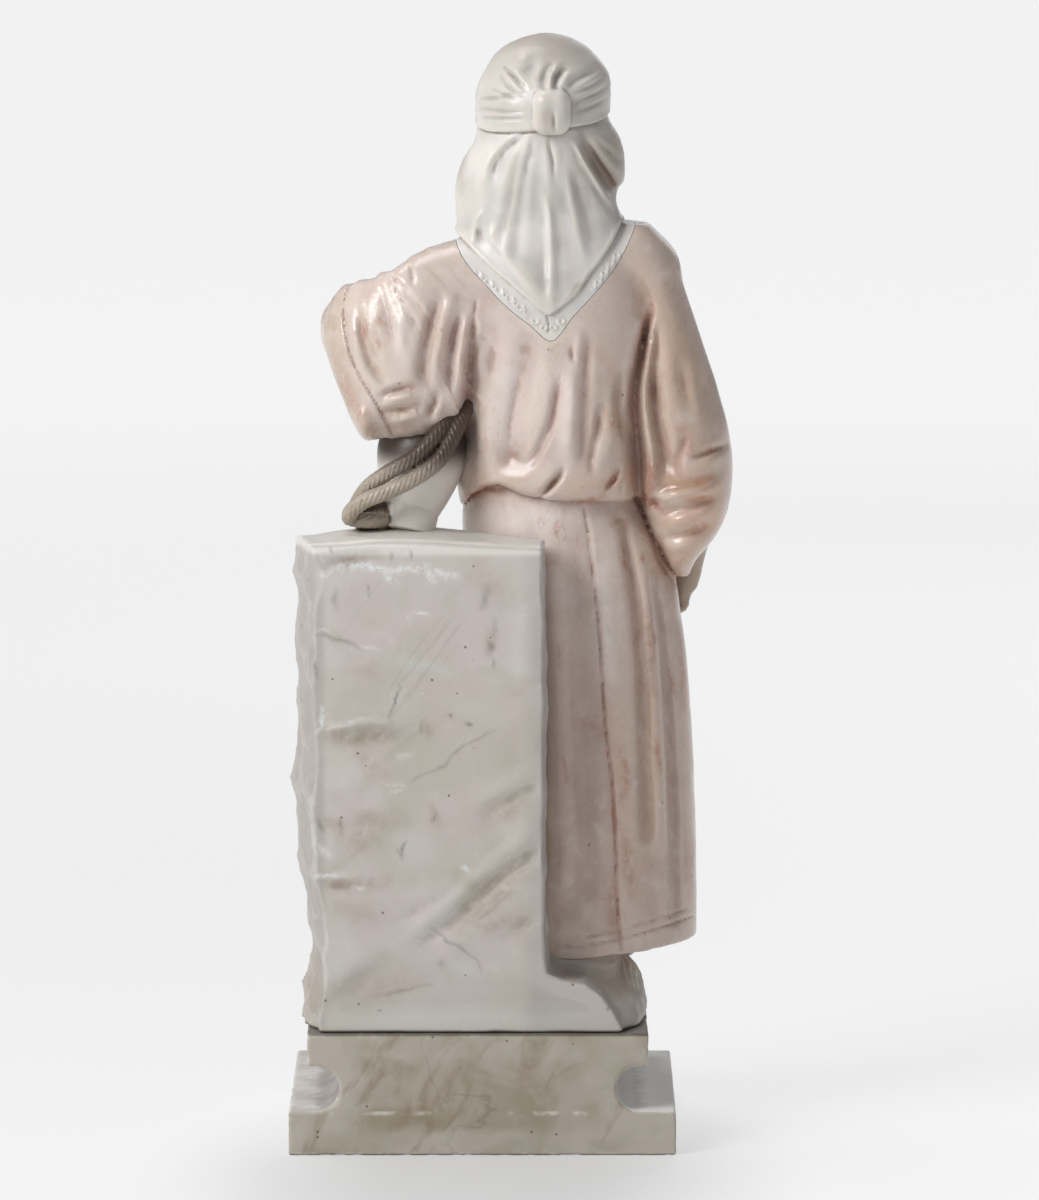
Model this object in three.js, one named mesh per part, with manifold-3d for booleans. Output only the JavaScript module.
// A carved two-tone alabaster statuette: a woman in a veil and a wide-sleeved dress leans on a vase that
// stands on a rough rock, all on a grey plinth with a hollow moulding on its front and sides.
// Millimetres, +Z up. The origin is the middle of the plinth's underside. The figure faces -Y, and
// +X is on the figure's left, where the rock stands.
import * as THREE from "three";
import { mergeVertices } from "three/addons/utils/BufferGeometryUtils.js";
import Module from "manifold-3d";

const wasm = await Module();
wasm.setup();

// Driving dimensions
const JOINT_GAP = 0.3; // the glue line between two stones
const PLINTH_WIDE = 248;
const PLINTH_DEEP = 200;
const PLINTH_TALL = 79;
const LOWER_STEP_TALL = 28; // top of the plinth's lower step
const HOLLOW_RADIUS = 17; // the round hollow between the plinth's two steps
const HOLLOW_DEEP = 8; // its centre lies this far inside the upper step's side
const UPPER_LEFT = 112; // side of the upper step under the rock
const UPPER_RIGHT = -106; // side of the upper step under the dress
const UPPER_FRONT = -88;
const ROCK_TOP = 394;
const BACK_FACE = 97; // the sawn back of the rock, 3 mm inside the plinth's
const HEM = 119; // lowest edge of the dress
const HEM_RISE = 0.083; // the hem climbs towards the figure's right, per mm of width
const HEAD_X = -40;
const VASE_TALL = 104;
const VASE_WALL = 4;
const ROPE_RADIUS = 4.6;
const ROPE_STRANDS = 3;
const SLIVER = 0.1;

const GREY_STONE = 0xb9b1a6;
const PLINTH_STONE = 0xa39a8c;
const PINK_STONE = 0xd9c0b2;
const PALE_STONE = 0xc9c4bd;

const { cos, sin, PI, abs, exp, min, max } = Math;
const vec = (x, y, z) => new THREE.Vector3(x, y, z);

// Solids

// A closed three.js shape as a solid that can be joined to others and cut by them.
function solid(geometry) {
  const bare = geometry.clone();
  for (const name of Object.keys(bare.attributes)) {
    if (name !== "position") bare.deleteAttribute(name);
  }
  const merged = mergeVertices(bare, 1e-4);
  return new wasm.Manifold(
    new wasm.Mesh({
      numProp: 3,
      vertProperties: new Float32Array(merged.attributes.position.array),
      triVerts: new Uint32Array(merged.index.array),
    }),
  );
}

function joined(solids) {
  return solids.reduce((whole, piece) => whole.add(piece));
}

// SLIVER is the width of the thin scraps that cutting leaves along a joint, which are cleaned away.
function named(name, made, color, roughness) {
  const bodies = made.setTolerance(SLIVER).decompose();
  const cut = bodies.reduce((a, b) => (a.volume() > b.volume() ? a : b)).getMesh();
  const geometry = new THREE.BufferGeometry();
  const spots = new Float32Array(cut.numVert * 3);
  for (let i = 0; i < cut.numVert; i++) {
    spots.set(cut.vertProperties.subarray(i * cut.numProp, i * cut.numProp + 3), i * 3);
  }
  geometry.setAttribute("position", new THREE.BufferAttribute(spots, 3));
  geometry.setIndex(new THREE.BufferAttribute(cut.triVerts, 1));
  geometry.computeVertexNormals();
  const mesh = new THREE.Mesh(
    geometry,
    new THREE.MeshStandardMaterial({ color, roughness, metalness: 0 }),
  );
  mesh.name = name;
  return mesh;
}

function block(low, high) {
  const size = high.clone().sub(low);
  const middle = low.clone().add(high).multiplyScalar(0.5);
  return new THREE.BoxGeometry(size.x, size.y, size.z).translate(middle.x, middle.y, middle.z);
}

// A skin of rings laid on each other from bottom to top. place(angle, height, reach) gives a point of it:
// height runs from 0 to 1, and reach is 0 at the middle of an end and 1 on the skin.
function ringed(around, rings, place) {
  const drum = new THREE.CylinderGeometry(1, 1, 1, around, rings);
  drum.deleteAttribute("normal");
  drum.deleteAttribute("uv");
  const skin = mergeVertices(drum, 1e-4);
  const spots = skin.attributes.position;
  for (let i = 0; i < spots.count; i++) {
    const side = spots.getX(i);
    const front = spots.getZ(i);
    const reach = Math.hypot(side, front) > 0.5 ? 1 : 0;
    const p = place(Math.atan2(side, front), spots.getY(i) + 0.5, reach);
    spots.setXYZ(i, p.x, p.y, p.z);
  }
  return skin;
}

// The numbers of a smooth line through rows of [place, number, number, ...], at one place.
function along(rows, at) {
  const last = rows.length - 2;
  let i = 0;
  while (i < last && at > rows[i + 1][0]) i++;
  const [a, b] = [rows[i], rows[i + 1]];
  const before = rows[max(i - 1, 0)];
  const after = rows[min(i + 2, rows.length - 1)];
  const span = b[0] - a[0];
  const t = min(max((at - a[0]) / span, 0), 1);
  return a.slice(1).map((start, k) => {
    const end = b[k + 1];
    const leave = ((end - before[k + 1]) / (b[0] - before[0])) * span;
    const arrive = ((after[k + 1] - start) / (after[0] - a[0])) * span;
    const [t2, t3] = [t * t, t * t * t];
    return (
      (2 * t3 - 3 * t2 + 1) * start +
      (t3 - 2 * t2 + t) * leave +
      (3 * t2 - 2 * t3) * end +
      (t3 - t2) * arrive
    );
  });
}

// A column of level rings. rows hold [height, middle x, middle y, half width, half depth], and
// carve(x, z, angle) is how deep the surface is cut there.
function column(rows, around, rings, carve = () => 0, spread = (v) => v) {
  const foot = rows[0][0];
  const tall = rows[rows.length - 1][0] - foot;
  return ringed(around, rings, (angle, v, reach) => {
    const z = foot + tall * spread(v);
    const [cx, cy, wide, deep] = along(rows, z);
    const x = cx + wide * cos(angle) * reach;
    const y = cy + deep * sin(angle) * reach;
    const out = vec(cos(angle) / wide, sin(angle) / deep, 0).normalize();
    return vec(x, y, z).addScaledVector(out, -carve(x, z, angle) * reach);
  });
}

// A limb, sleeve or rope along a line. rows hold [share of the length, x, y, z, half width, half height].
// The ring's width lies level, and skin(angle, v) swells or thins it.
function limb(rows, around, rings, skin = () => 1) {
  const spot = (v) => vec(...along(rows, v).slice(0, 3));
  return ringed(around, rings, (angle, v, reach) => {
    const [wide, tall] = along(rows, v).slice(3);
    const ahead = spot(min(v + 0.01, 1)).sub(spot(max(v - 0.01, 0))).normalize();
    const level = vec(-ahead.y, ahead.x, 0).normalize();
    if (abs(ahead.z) > 0.98) level.set(1, 0, 0);
    const upright = ahead.clone().cross(level);
    const swell = skin(angle, v) * reach;
    return spot(v)
      .addScaledVector(level, wide * cos(angle) * swell)
      .addScaledVector(upright, tall * sin(angle) * swell);
  });
}

function egg(middle, half, around = 16, rings = 10) {
  return new THREE.SphereGeometry(1, around, rings)
    .rotateX(PI / 2)
    .scale(half.x, half.y, half.z)
    .translate(middle.x, middle.y, middle.z);
}

// How deep a groove cuts at x and z, when it runs from one point to another of the surface seen level.
function groove([x1, z1], [x2, z2], width, depth) {
  const [dx, dz] = [x2 - x1, z2 - z1];
  const square = dx * dx + dz * dz;
  return (x, z) => {
    const t = ((x - x1) * dx + (z - z1) * dz) / square;
    const [nx, nz] = [x - x1 - t * dx, z - z1 - t * dz];
    const fade = 1 / (1 + exp(-14 * t)) / (1 + exp(14 * (t - 1)));
    return depth * fade * exp(-(nx * nx + nz * nz) / (width * width));
  };
}

// Plinth: two steps with a round hollow between them on the front and both sides, and a flat sawn back.

function hollowSide(from, inwards) {
  const cutter = new THREE.Shape();
  const middle = LOWER_STEP_TALL + HOLLOW_RADIUS;
  const outside = -60;
  cutter.moveTo(outside, middle - HOLLOW_RADIUS);
  cutter.lineTo(HOLLOW_DEEP, middle - HOLLOW_RADIUS);
  cutter.absarc(HOLLOW_DEEP, middle, HOLLOW_RADIUS, -PI / 2, PI / 2, false);
  cutter.lineTo(outside, middle + HOLLOW_RADIUS);
  cutter.closePath();
  const long = PLINTH_WIDE + 80;
  return new THREE.ExtrudeGeometry(cutter, { depth: long, bevelEnabled: false, curveSegments: 10 })
    .translate(0, 0, -long / 2)
    .rotateX(PI / 2)
    .rotateZ(inwards)
    .translate(from.x, from.y, 0);
}

function plinth() {
  const lower = new THREE.Shape();
  const bevel = 1.5;
  const half = PLINTH_WIDE / 2 - bevel;
  lower.moveTo(-half, -PLINTH_DEEP / 2 + bevel);
  lower.lineTo(half, -PLINTH_DEEP / 2 + bevel);
  lower.lineTo(half, PLINTH_DEEP / 2 - bevel);
  lower.lineTo(-half, PLINTH_DEEP / 2 - bevel);
  const lowerStep = new THREE.ExtrudeGeometry(lower, {
    depth: LOWER_STEP_TALL - 2 * bevel,
    bevelSize: bevel,
    bevelThickness: bevel,
    bevelSegments: 1,
  }).translate(0, 0, bevel);
  const upper = block(
    vec(UPPER_RIGHT, UPPER_FRONT, LOWER_STEP_TALL - 2),
    vec(UPPER_LEFT, PLINTH_DEEP / 2, PLINTH_TALL),
  );
  return solid(lowerStep)
    .add(solid(upper))
    .subtract(solid(hollowSide(vec(UPPER_LEFT, 0, 0), PI)))
    .subtract(solid(hollowSide(vec(UPPER_RIGHT, 0, 0), 0)))
    .subtract(solid(hollowSide(vec(0, UPPER_FRONT, 0), PI / 2)));
}

// Rock: a pillar with a sawn back and broken sides, the ground that it grows from, and the bare feet on it.

const ROCK_PLAN = [
  [107, 97],
  [-38, 97],
  [-41, 54],
  [0, 28],
  [54, 3],
  [121.5, 40],
];
const STEPS_PER_SIDE = [6, 3, 3, 4, 4, 4];
const STEPS_AROUND = STEPS_PER_SIDE.reduce((sum, n) => sum + n);

function planPoint(turn) {
  let step = Math.round(turn * STEPS_AROUND) % STEPS_AROUND;
  let side = 0;
  while (step >= STEPS_PER_SIDE[side]) {
    step -= STEPS_PER_SIDE[side];
    side++;
  }
  const a = ROCK_PLAN[side];
  const b = ROCK_PLAN[(side + 1) % ROCK_PLAN.length];
  const share = step / STEPS_PER_SIDE[side];
  return { x: a[0] + (b[0] - a[0]) * share, y: a[1] + (b[1] - a[1]) * share, side };
}

// Broken facets on the rock's rough sides: two crossing rows of scallops.
function chipping(x, y, z) {
  const ledge = abs(((z * 0.021 + x * 0.006 + y * 0.011) % 1) - 0.5);
  const chip = abs(((z * 0.043 - x * 0.017 + y * 0.019 + 7) % 1) - 0.5);
  return 9 * ledge + 5 * chip - 3.5;
}

function pillar(grown = 0) {
  const foot = PLINTH_TALL + JOINT_GAP;
  const middle = vec(35, 62, 0);
  return ringed(STEPS_AROUND, 14, (angle, v, reach) => {
    const plan = planPoint((angle / (2 * PI) + 1) % 1);
    const z = foot + (ROCK_TOP - foot) * v;
    const spot = vec(plan.x, plan.y, z);
    const away = spot.clone().sub(middle).setZ(0).normalize();
    const back = plan.y > BACK_FACE - 1;
    const top = v > 0.97 && plan.x < 90 ? 5 : 0;
    const waist = plan.x > 90 ? 6 * exp(-(((z - 130) / 40) ** 2)) : 0;
    if (!back) spot.addScaledVector(away, grown - chipping(plan.x, plan.y, z) * 0.8 - top - waist);
    if (back && plan.x > 100) spot.x -= 1.5 + 1.5 * sin(z / 19) + waist * 0.3;
    const crown = 4 * exp(-(((spot.x - 52) / 55) ** 2)) - 3;
    if (v > 0.97) spot.z += (reach ? crown : 1) + grown;
    if (!reach) spot.set(middle.x, middle.y, spot.z);
    return spot;
  });
}

function ground() {
  const rows = [
    [PLINTH_TALL + JOINT_GAP, 3.5, 6, 106, 91],
    [PLINTH_TALL + 7, 3, 5, 105, 90],
    [PLINTH_TALL + 14, 0, 2, 98, 82],
    [PLINTH_TALL + 20, -6, -2, 84, 66],
    [PLINTH_TALL + 26, -16, -4, 60, 44],
  ];
  const squarish = (angle) => 1 / Math.pow(abs(cos(angle)) ** 5 + abs(sin(angle)) ** 5, 0.2);
  const ripple = (angle, z) => 3 * abs(sin(3.5 * angle + z * 0.2)) - 1;
  return ringed(36, 5, (angle, v, reach) => {
    const z = rows[0][0] + (rows[4][0] - rows[0][0]) * v;
    const [cx, cy, wide, deep] = along(rows, z);
    const r = squarish(angle) * reach;
    const rough = v > 0.1 ? ripple(angle, z) * reach : 0;
    return vec(
      cx + (wide - rough) * cos(angle) * r,
      min(cy + (deep - rough) * sin(angle) * r, BACK_FACE),
      z,
    );
  });
}

// The stone that carries the dress: it rises under the hem, narrower than the skirt.
function underSkirt() {
  const rows = [
    [PLINTH_TALL + 2, -56, -2, 44, 62],
    [100, -56, -2, 40, 58],
    [112, -55, -2, 36, 55],
    [HEM - JOINT_GAP - 0.2, -54, -1, 34, 53],
  ];
  return column(rows, 20, 3);
}

function bareFoot(x, y, turn) {
  const rows = [
    [0, 0, 34, 14, 11, 15],
    [0.3, 0, 12, 16, 13, 17],
    [0.6, 0, -12, 10, 15, 11],
    [0.85, 0, -30, 7, 15.5, 7.5],
    [1, 0, -41, 5, 10, 5],
  ];
  return limb(rows, 12, 7).rotateZ(turn).translate(x, y, PLINTH_TALL + 20);
}

function rock() {
  const below = block(vec(-200, -200, 0), vec(200, 200, PLINTH_TALL + JOINT_GAP));
  const hidden = block(vec(-200, -200, HEM - JOINT_GAP), vec(200, 200, HEM + 60));
  const feet = joined([solid(bareFoot(-34, -42, 0.16)), solid(bareFoot(-80, -38, -0.12))]);
  return joined([
    solid(pillar()),
    solid(ground()),
    solid(underSkirt()),
    feet.subtract(solid(hidden)),
  ]).subtract(solid(below));
}

// Dress: one pink stone, from the hem to the shoulders, with both wide sleeves.

const BODY = [
  [HEM - 1, -60, -5, 79, 62],
  [160, -60, -6, 79, 61],
  [200, -60, -6, 78, 60],
  [270, -59, -6, 76, 57],
  [330, -57, -5, 72, 54],
  [380, -53, -4, 66, 50],
  [406, -47, -3, 59, 47],
  [411, -46, -2, 58, 47],
  [417, -47, -1, 62, 52],
  [440, -48, 0, 62, 52],
  [472, -49, 1, 63, 53],
  [505, -50, 2, 65, 54],
  [535, -49, 3, 66, 55],
  [560, -48, 5, 65, 48],
  [578, -46, 6, 58, 36],
  [590, -43, 6, 44, 25],
  [597, -41, 6, 26, 16],
];

// Grooves on the back of the dress, as [x, z] of their two ends, with width and depth.
const BACK_GROOVES = [
  groove([-66, 402], [-78, 270], 6, 4.5),
  groove([-78, 270], [-89, 120], 6, 5),
  groove([-117, 280], [-122, 130], 8, 3),
  groove([-26, 400], [-30, 130], 10, 3),
  groove([-26, 498], [-16, 446], 7, 4.5),
  groove([-47, 478], [-30, 432], 7, 4.5),
  groove([-62, 466], [-62, 440], 5, 3),
  groove([-80, 488], [-76, 440], 7, 4),
  groove([-108, 530], [-97, 424], 8, 7),
  groove([-58, 520], [-58, 500], 4, 2),
  groove([32, 542], [38, 490], 8, 3),
];
const FRONT_GROOVES = [
  groove([-34, 405], [-22, 125], 9, 9),
  groove([-52, 405], [-52, 125], 8, 8),
  groove([-70, 400], [-84, 125], 9, 9),
  groove([-92, 395], [-114, 125], 9, 8),
  groove([-14, 400], [6, 125], 9, 7),
  groove([-30, 500], [-24, 420], 8, 5),
  groove([-66, 505], [-60, 420], 8, 5),
];

function dressFolds(x, z, angle) {
  const set = sin(angle) > 0 ? BACK_GROOVES : FRONT_GROOVES;
  const depth = set.reduce((sum, cut) => sum + cut(x, z), 0);
  return depth * min(1, abs(sin(angle)) * 1.6);
}

const RIGHT_SLEEVE = [
  [364, -129, 6, 4, 9],
  [372, -127.5, 6, 10, 21],
  [382, -129, 5, 17, 30],
  [396, -130, 4, 25, 34],
  [412, -130, 3, 29, 37],
  [436, -128, 3, 32.5, 37],
  [458, -126, 4, 31.5, 36],
  [487, -122, 4, 27.5, 34],
  [519, -117, 5, 22, 32],
  [549, -110, 6, 19.5, 31],
  [573, -103, 7, 20, 28],
  [590, -98, 8, 9, 15],
];

function rightSleeveFolds(x, z, angle) {
  const rings = groove([-158, 446], [-140, 437], 5, 4)(x, z);
  const low = groove([-116, 436], [-146, 432], 6, 3)(x, z) + groove([-110, 404], [-124, 402], 6, 3)(x, z);
  const front = sin(angle) < 0 ? groove([-130, 540], [-140, 430], 8, 4)(x, z) : 0;
  return rings + low + front;
}

// The left sleeve runs out level to the elbow and turns forward at its wide cuff.
const LEFT_SLEEVE = [
  [0, -14, 14, 552, 34, 37],
  [0.22, 12, 22, 534, 30, 49],
  [0.42, 35, 31, 515, 24, 54],
  [0.62, 56, 31, 507, 25, 53],
  [0.82, 73, 21, 505, 27, 49],
  [1, 83, 4, 499, 26, 45],
];

function leftSleeveSkin(angle, v) {
  const gathers = v > 0.25 && v < 0.9 ? 0.05 * cos(7 * angle + 9 * v) : 0;
  const cuff = v > 0.86 ? 0.05 : 0;
  return 1 + gathers + cuff;
}

function cuffHollow() {
  const rows = [
    [0, 66, 22, 504, 12, 26],
    [0.5, 78, 8, 503, 20, 37],
    [1, 89, -10, 502, 22, 40],
  ];
  return limb(rows, 20, 4);
}

// The V-shaped seat in the dress that the head and veil are set into, seen level from behind.
function neckSeat(gap) {
  const half = 59 + gap;
  const line = new THREE.Shape();
  line.moveTo(-43, 519 - gap * 1.4);
  line.lineTo(-17 + gap, 539 - gap);
  line.lineTo(11 + gap, 569 - gap);
  line.lineTo(-41 + half, 582);
  line.lineTo(-41 + half, 640);
  line.lineTo(-41 - half, 640);
  line.lineTo(-98 - gap, 588);
  line.lineTo(-92 - gap, 576 - gap);
  line.lineTo(-75 - gap, 553 - gap);
  line.closePath();
  return new THREE.ExtrudeGeometry(line, { depth: 180, bevelEnabled: false })
    .rotateX(PI / 2)
    .translate(0, 90, 0);
}

function dressBody(grown = 0) {
  const rows = BODY.map(([z, cx, cy, wide, deep]) => [z, cx, cy, wide + grown, deep + grown]);
  return column(rows, 34, 23, dressFolds);
}

// The hem is level behind the rock and climbs from its lowest point to the figure's right.
function hemCut() {
  const level = block(vec(-220, -150, HEM - 60), vec(220, 150, HEM));
  const climbing = block(vec(-220, -150, -60), vec(0, 150, 0))
    .rotateY(Math.atan(HEM_RISE))
    .translate(-60, 0, HEM);
  return solid(level).add(solid(climbing));
}

// Head and veil: the head in its tied veil, with the neck and the patterned border around the seat.

const HEAD = [
  [614, -21, 9, 11],
  [621, -17, 16, 19],
  [633, -10, 23, 28],
  [647, -5, 27, 34],
  [661, -2, 29, 37],
  [677, 0, 29, 37],
  [691, 1, 24, 31],
  [701, 1, 13, 17],
];

function faceCarving(x, z, angle) {
  if (sin(angle) > -0.5) return 0;
  const side = abs(x - HEAD_X);
  const nose = -7 * exp(-((side / 4) ** 2)) * exp(-(((z - 648) / 8) ** 2));
  const eyes = 3 * exp(-(((side - 12) / 6) ** 2)) * exp(-(((z - 658) / 4.5) ** 2));
  const lips = -2.2 * exp(-((side / 7) ** 2)) * exp(-(((z - 633) / 3) ** 2));
  const chin = -2 * exp(-((side / 8) ** 2)) * exp(-(((z - 621) / 4) ** 2));
  return nose + eyes + lips + chin;
}

const VEIL = [
  [571, -38, 14, 55, 36],
  [583, -37, 14, 53, 36],
  [598, -36, 12, 53, 36],
  [613, -36, 11, 53.5, 35],
  [630, -39, 10, 52, 35],
  [646, -41.5, 10, 46, 36],
  [657, -39, 9, 42.5, 38],
  [675, -39, 8, 41.5, 38],
  [688, -40.5, 6, 38.5, 35],
  [698, -40, 5, 32, 29],
  [706, -40.5, 4, 21.5, 20],
  [711, -41, 4, 8, 8],
];

function veilFolds(x, z, angle) {
  const tied = z > 644 && z < 673 ? -1.5 * (1 + 0.3 * sin(z)) : 0;
  const fan = z < 642 && sin(angle) > 0 ? 2.4 * cos((x - HEAD_X) * 0.3) * min(1, (642 - z) / 30) : 0;
  return tied + fan;
}

function veilSkin(grown = 0) {
  const rows = VEIL.map(([z, cx, cy, wide, deep]) => [z, cx, cy, wide + grown, deep + grown]);
  return column(rows, 28, 17, veilFolds);
}

function headAndVeil(body) {
  const head = column(
    HEAD.map(([z, cy, wide, deep]) => [z, HEAD_X, cy, wide, deep]),
    22,
    14,
    faceCarving,
  );
  const neck = column(
    [
      [560, HEAD_X, 2, 19, 19],
      [600, HEAD_X, 0, 16, 17],
      [630, HEAD_X, -2, 15, 17],
    ],
    20,
    3,
  );
  const knot = egg(vec(-44, 44, 664), vec(13, 10, 14));
  const seat = body.intersect(solid(neckSeat(0)));
  const openFace = egg(vec(HEAD_X, -36, 652), vec(31, 26, 40), 20, 14);
  const cheeks = solid(veilSkin()).subtract(solid(openFace));
  return joined([cheeks, solid(head), solid(neck), solid(knot), seat]);
}

// Vase: a small two-part jug turned on an axis, tipped forward against the sleeve, with a coil of rope.

const VASE_FOOT = vec(49, 29, 392.5);
const VASE_LEAN = new THREE.Euler(0.33, -0.2, 0);
const VASE_OUTSIDE = [
  [0, 17],
  [8, 18],
  [14, 18.5],
  [24, 22],
  [39, 26.5],
  [54, 29],
  [66, 27],
  [78, 19],
  [85, 13.5],
  [94, 12.5],
  [100, 15],
  [VASE_TALL, 18],
];
const VASE_FLOOR = 9;

function vaseRadius(height) {
  return along(VASE_OUTSIDE, height)[0];
}

function standing(geometry) {
  return geometry
    .rotateX(PI / 2)
    .rotateX(VASE_LEAN.x)
    .rotateY(VASE_LEAN.y)
    .translate(VASE_FOOT.x, VASE_FOOT.y, VASE_FOOT.z);
}

function vase(hollow, grown = 0) {
  const profile = [new THREE.Vector2(0, -grown)];
  for (let i = 0; i <= 14; i++) {
    const height = (VASE_TALL * i) / 14;
    const at = i === 0 ? -grown : i === 14 ? height + grown : height;
    profile.push(new THREE.Vector2(vaseRadius(height) + grown, at));
  }
  if (hollow) {
    for (let i = 7; i >= 0; i--) {
      const height = VASE_FLOOR + ((VASE_TALL - VASE_FLOOR) * i) / 7;
      profile.push(new THREE.Vector2(max(vaseRadius(height) - VASE_WALL, 4), height));
    }
    profile.push(new THREE.Vector2(0, VASE_FLOOR));
  } else {
    profile.push(new THREE.Vector2(0, VASE_TALL + grown));
  }
  return standing(new THREE.LatheGeometry(profile, 20));
}

// The rope's two turns, from the vase's far side down behind it to the rock.
const ROPE_TURNS = [
  [
    [0, 22, 36, 462],
    [0.16, 29, 47, 458],
    [0.34, 43, 49.5, 444],
    [0.54, 60, 48, 434],
    [0.74, 73, 45, 424],
    [0.88, 81, 38, 412],
    [1, 83, 26, 403],
  ],
  [
    [0, 16, 38, 460],
    [0.14, 21, 47, 456],
    [0.28, 29, 52, 441],
    [0.45, 43, 55, 431],
    [0.64, 61, 56, 422],
    [0.8, 77, 55, 415],
    [0.92, 86, 51, 407],
    [1, 87, 43, 401.5],
  ],
];

function rope(turn, grown = 0) {
  const rows = turn.map((row) => [...row, ROPE_RADIUS + grown, ROPE_RADIUS + grown]);
  const laid = (angle, v) => 1 + 0.12 * cos(ROPE_STRANDS * (angle - 14 * v));
  return limb(rows, 6, 18, laid);
}

function ropeOnRock(grown = 0) {
  return new THREE.TorusGeometry(13, ROPE_RADIUS - 0.4 + grown, 6, 16)
    .scale(1, 1.25, 1)
    .translate(74, 36, 401.4);
}

// Forearms: pale stone, set into the sleeves.

const RIGHT_FOREARM = [
  [0, -137, 2, 404, 12, 12],
  [0.3, -137, -14, 388, 11, 12],
  [0.55, -136, -30, 370, 9, 9],
  [0.72, -134, -38, 358, 12, 10],
  [0.88, -131, -43, 347, 12, 8],
  [1, -127, -46, 339, 8, 5],
];
const LEFT_FOREARM = [
  [0, 84, 24, 506, 13, 13],
  [0.3, 82, 2, 502, 12, 12],
  [0.55, 74, -18, 499, 9, 9],
  [0.72, 66, -26, 497, 12, 7],
  [0.88, 56, -28, 494, 11, 6],
  [1, 47, -25, 488, 8, 5],
];

function forearm(rows, grown = 0) {
  return limb(
    rows.map(([v, x, y, z, wide, tall]) => [v, x, y, z, wide + grown, tall + grown]),
    12,
    10,
  );
}

// Putting it together

const rockStone = rock();
const wholeVase = solid(vase(false, JOINT_GAP));
const ropes = joined([...ROPE_TURNS.map((turn) => solid(rope(turn))), solid(ropeOnRock())]);
const ropesGrown = joined([
  ...ROPE_TURNS.map((turn) => solid(rope(turn, JOINT_GAP))),
  solid(ropeOnRock(JOINT_GAP)),
]);
const rockSeat = rockStone.subtract(wholeVase).subtract(ropesGrown);
const vaseStone = solid(vase(true)).add(ropes);
const rightArm = solid(forearm(RIGHT_FOREARM));
const leftArm = solid(forearm(LEFT_FOREARM)).subtract(wholeVase);

const upperBody = solid(dressBody(1.2));
const bareDress = joined([
  solid(dressBody()),
  solid(column(RIGHT_SLEEVE, 20, 12, rightSleeveFolds)),
  solid(limb(LEFT_SLEEVE, 22, 11, leftSleeveSkin)).subtract(solid(cuffHollow())),
]);
const headStone = headAndVeil(upperBody);

const figure = new THREE.Group();
figure.add(named("plinth", plinth(), PLINTH_STONE, 0.5));
figure.add(named("rock", rockSeat, GREY_STONE, 0.5));
figure.add(named("vase_and_rope", vaseStone, PALE_STONE, 0.45));
figure.add(named("right_forearm", rightArm, PALE_STONE, 0.45));
figure.add(named("left_forearm", leftArm, PALE_STONE, 0.45));
figure.add(named("head_and_veil", headStone, PALE_STONE, 0.45));
figure.add(
  named(
    "dress",
    bareDress
      .subtract(hemCut())
      .subtract(solid(neckSeat(JOINT_GAP)))
      .subtract(solid(veilSkin(2 * JOINT_GAP)))
      .subtract(solid(pillar(2 * JOINT_GAP)))
      .subtract(wholeVase)
      .subtract(ropesGrown)
      .subtract(solid(forearm(RIGHT_FOREARM, JOINT_GAP)))
      .subtract(solid(forearm(LEFT_FOREARM, JOINT_GAP))),
    PINK_STONE,
    0.45,
  ),
);

export default figure;
